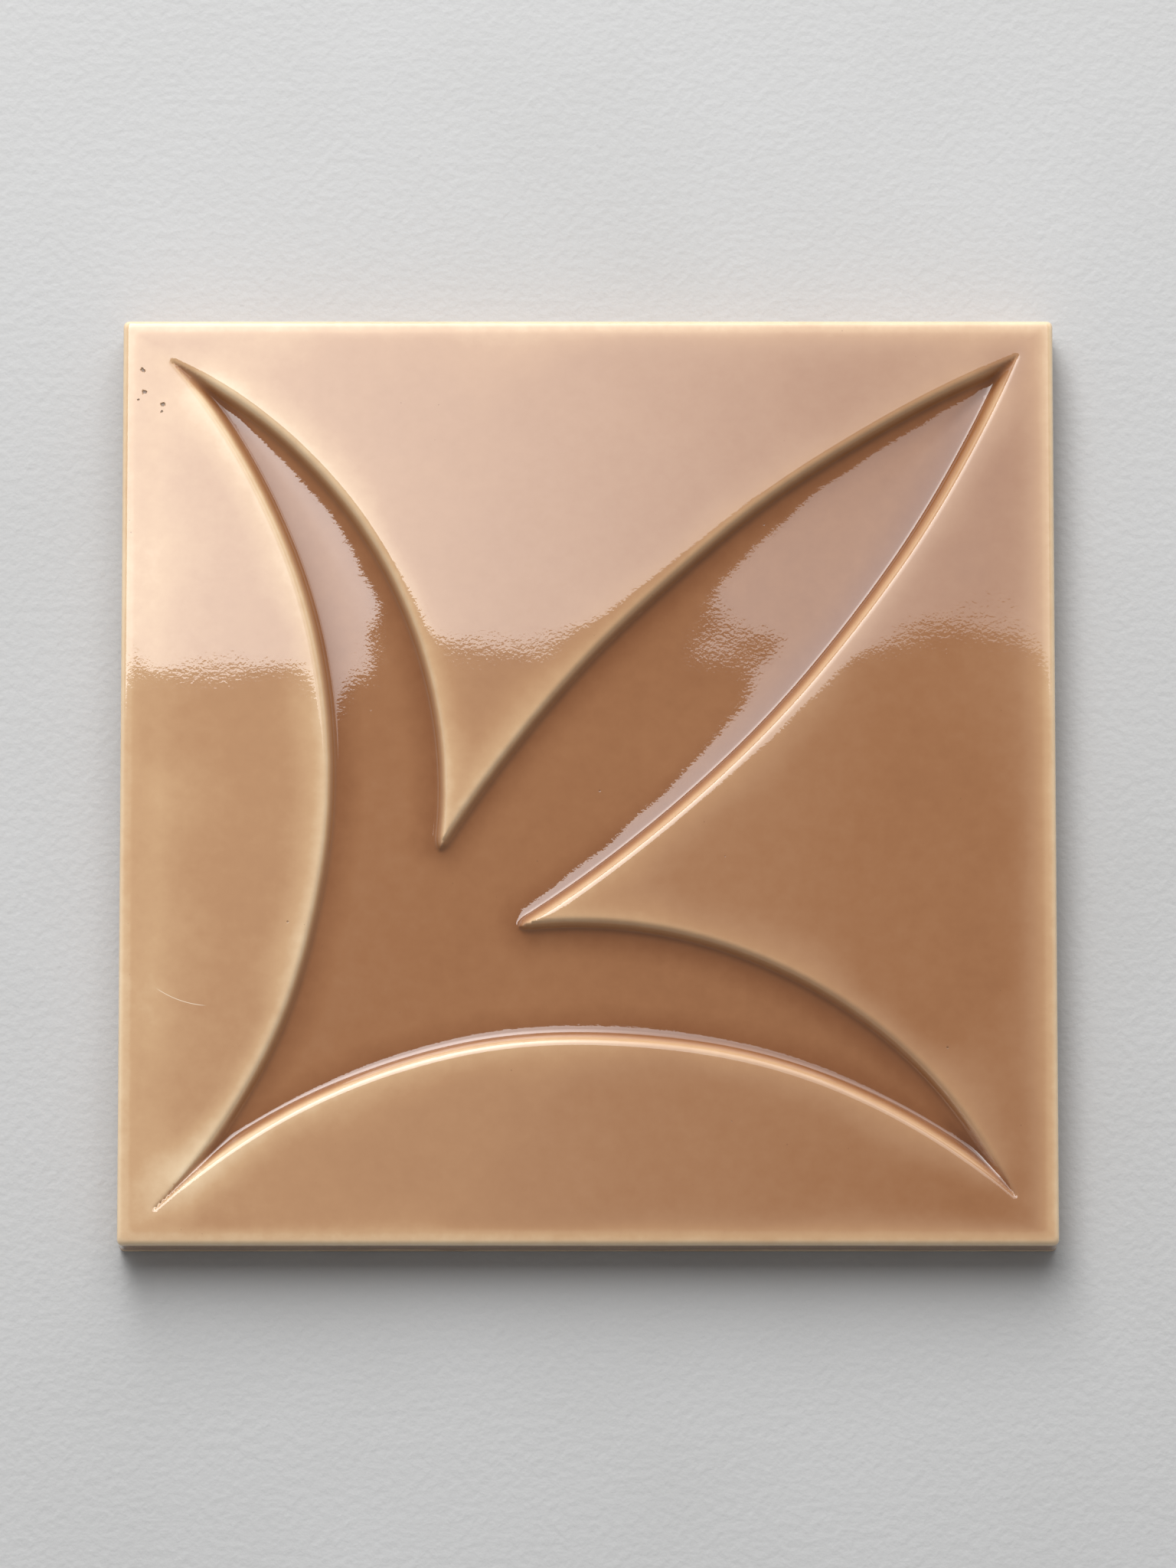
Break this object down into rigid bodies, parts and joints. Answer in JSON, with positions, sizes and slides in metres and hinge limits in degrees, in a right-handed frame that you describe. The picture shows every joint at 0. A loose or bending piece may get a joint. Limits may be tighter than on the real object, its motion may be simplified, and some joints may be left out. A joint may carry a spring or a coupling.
{
  "type": "relief glazed tile",
  "caption": "Square ceramic wall tile with a glossy caramel glaze and a sunken leaf relief whose pointed blades run to the corners.",
  "frame": {"origin": "centre of the flat back, on the surface the tile lies on", "axes": "+Z out of the glazed face through the tile's thickness, +Y to the top of the relief, +X to its right"},
  "size_m": [0.15, 0.15, 0.01],
  "materials": {
    "glazed_body": "gloss"
  },
  "bodies": {
    "root": {"tile": "glazed_body"}
  },
  "joints": []
}
